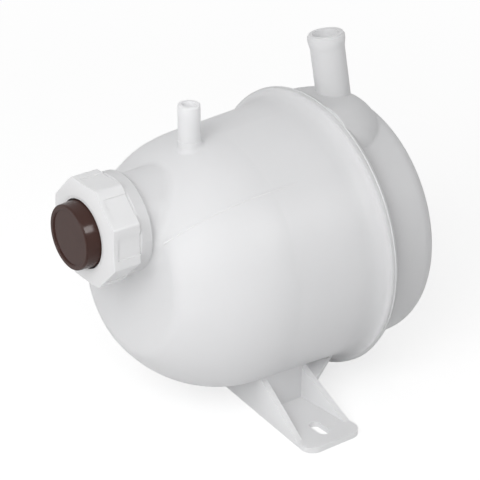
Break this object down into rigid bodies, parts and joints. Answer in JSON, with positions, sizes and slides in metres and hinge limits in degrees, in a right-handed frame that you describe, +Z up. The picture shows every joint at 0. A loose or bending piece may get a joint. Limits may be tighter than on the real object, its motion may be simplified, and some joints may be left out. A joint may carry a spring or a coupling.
{
  "type": "coolant expansion tank",
  "caption": "Round welded coolant expansion tank with a screwed filler cap and pressure valve, a vent nipple, a hose stub and slotted mounting feet.",
  "frame": {"origin": "midway between the two mounting slots, on the underside of the feet", "axes": "+Z up out of the feet, the filler neck points along -Y and the two slots lie along X"},
  "size_m": [0.182, 0.2057, 0.192],
  "materials": {
    "tank_plastic": "satin",
    "nut_plastic": "satin",
    "valve_plastic": "gloss",
    "rubber": "matte",
    "spring_steel": "bright"
  },
  "bodies": {
    "tank": {"front_shell": "tank_plastic", "rear_shell": "tank_plastic"},
    "valve": {"valve_body": "valve_plastic", "neck_gasket": "rubber", "valve_seat": "valve_plastic", "pressure_spring": "spring_steel"},
    "nut": {"cap_nut": "nut_plastic"},
    "plate": {"pressure_plate": "valve_plastic", "plate_seal": "rubber", "vacuum_spring": "spring_steel"},
    "vacuum": {"vacuum_valve": "valve_plastic", "stem_clip": "spring_steel"}
  },
  "joints": [
    {"name": "cap_lift", "type": "slide", "parent": "tank", "child": "valve", "axis": [0, -1, 0], "range_m": [0, 0.01]},
    {"name": "nut_turn", "type": "hinge", "parent": "valve", "child": "nut", "pos_m": [0, -0.0895, 0.1187], "axis": [0, -1, 0], "range_deg": [0, 900]},
    {"name": "pressure_lift", "type": "slide", "parent": "valve", "child": "plate", "axis": [0, -1, 0], "range_m": [0, 0.0025], "stiffness_N_per_m": 3000, "springref_m": -0.008, "deforming": ["pressure_spring"]},
    {"name": "vacuum_open", "type": "slide", "parent": "plate", "child": "vacuum", "axis": [0, 1, 0], "range_m": [0, 0.0015], "stiffness_N_per_m": 150, "springref_m": -0.002, "deforming": ["vacuum_spring"]}
  ],
  "couplings": [
    {"joint": "cap_lift", "follows": "nut_turn", "m_per_rad": 0.00063662}
  ]
}
